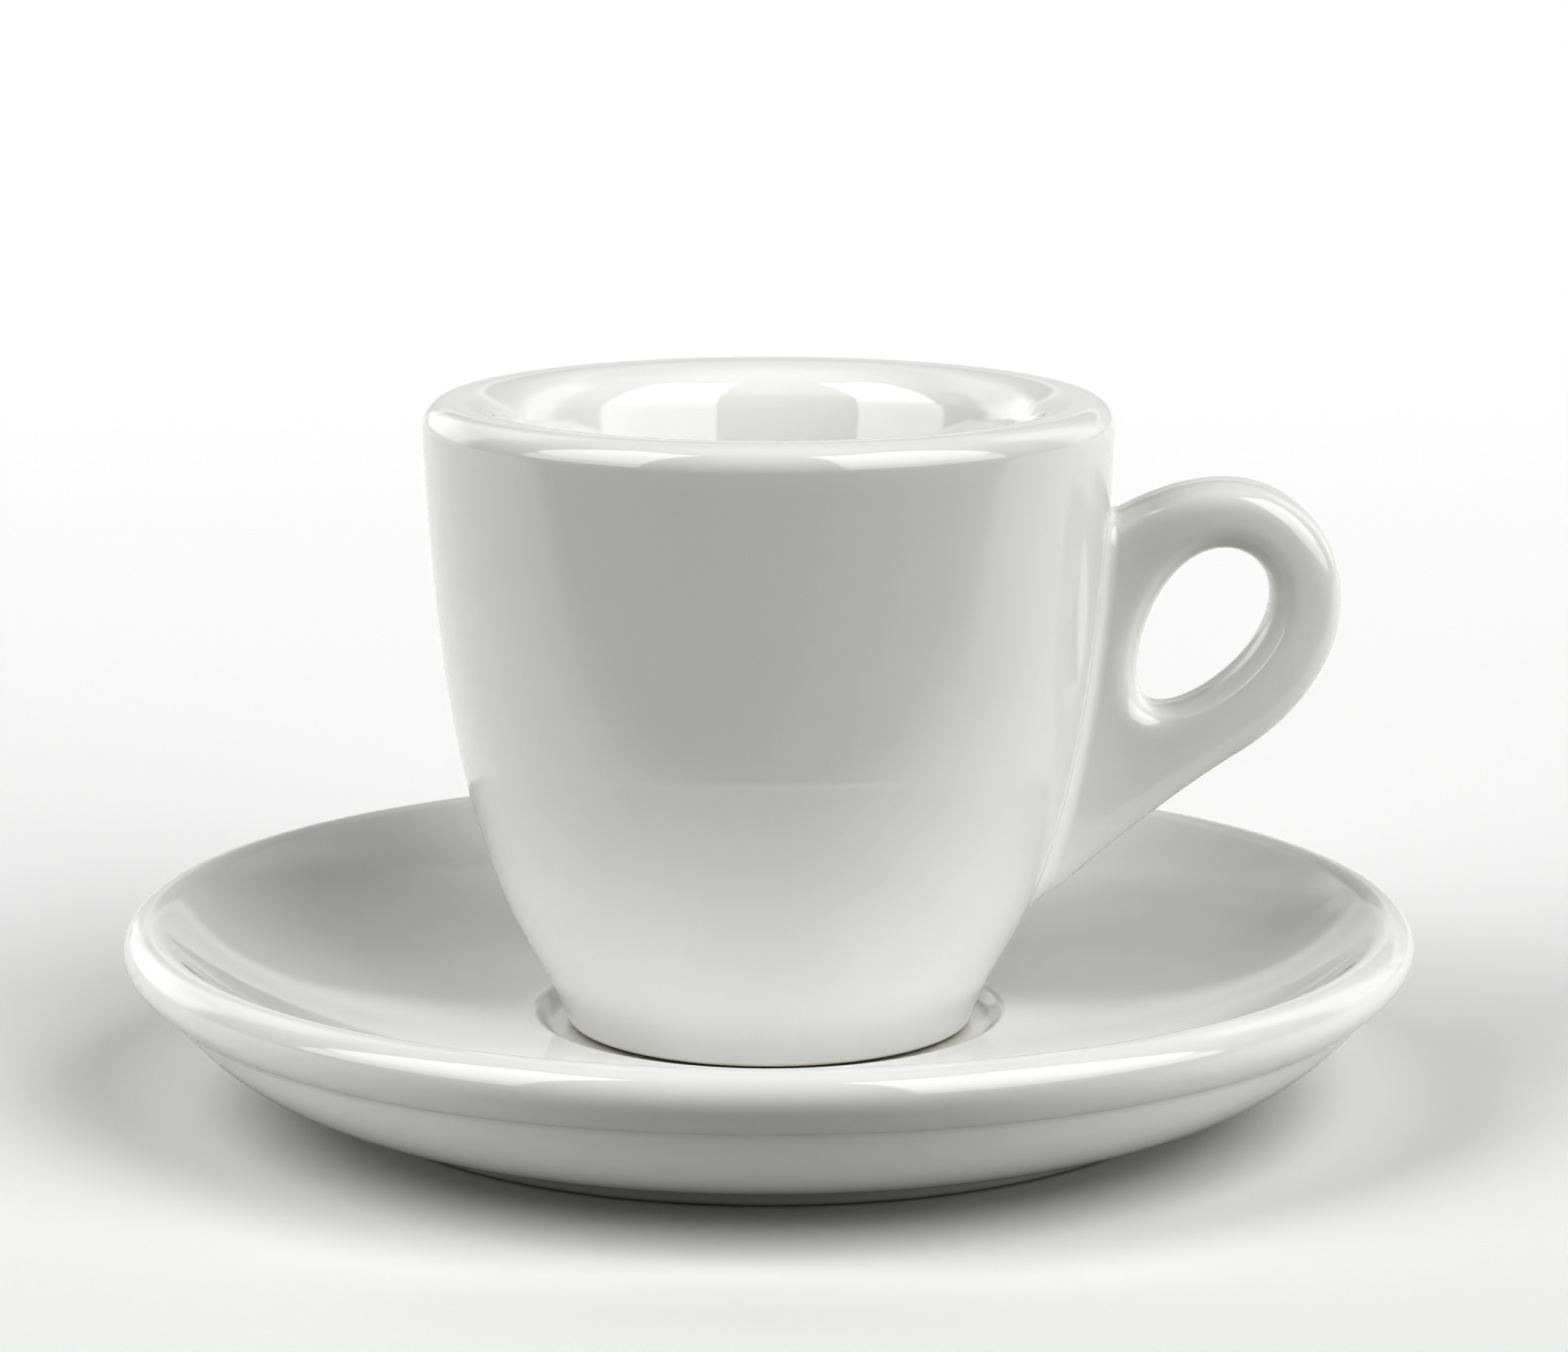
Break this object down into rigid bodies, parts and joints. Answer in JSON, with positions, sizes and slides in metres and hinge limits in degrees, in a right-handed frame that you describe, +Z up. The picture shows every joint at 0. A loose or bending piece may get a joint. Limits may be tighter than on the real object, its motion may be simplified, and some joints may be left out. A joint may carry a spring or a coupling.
{
  "type": "espresso cup and saucer",
  "caption": "Thick white porcelain espresso cup with a rounded lip and a ring handle with a tail, standing in the well of a dished saucer with a rolled rim.",
  "frame": {"origin": "on the table under the middle of the saucer's foot ring", "axes": "+Z up along the axis of the saucer and the cup, +X along the handle"},
  "size_m": [0.12, 0.12, 0.0655],
  "materials": {
    "cup_porcelain": "gloss clear glaze over white porcelain, foot ring left bare",
    "saucer_porcelain": "gloss clear glaze over white porcelain, foot ring left bare"
  },
  "bodies": {
    "saucer": {"saucer": "saucer_porcelain"},
    "cup": {"cup_body": "cup_porcelain", "cup_handle": "cup_porcelain"}
  },
  "joints": [
    {"name": "cup_lift", "type": "slide", "parent": "saucer", "child": "cup", "axis": [0, 0, 1], "range_m": [0, 0.12]}
  ]
}
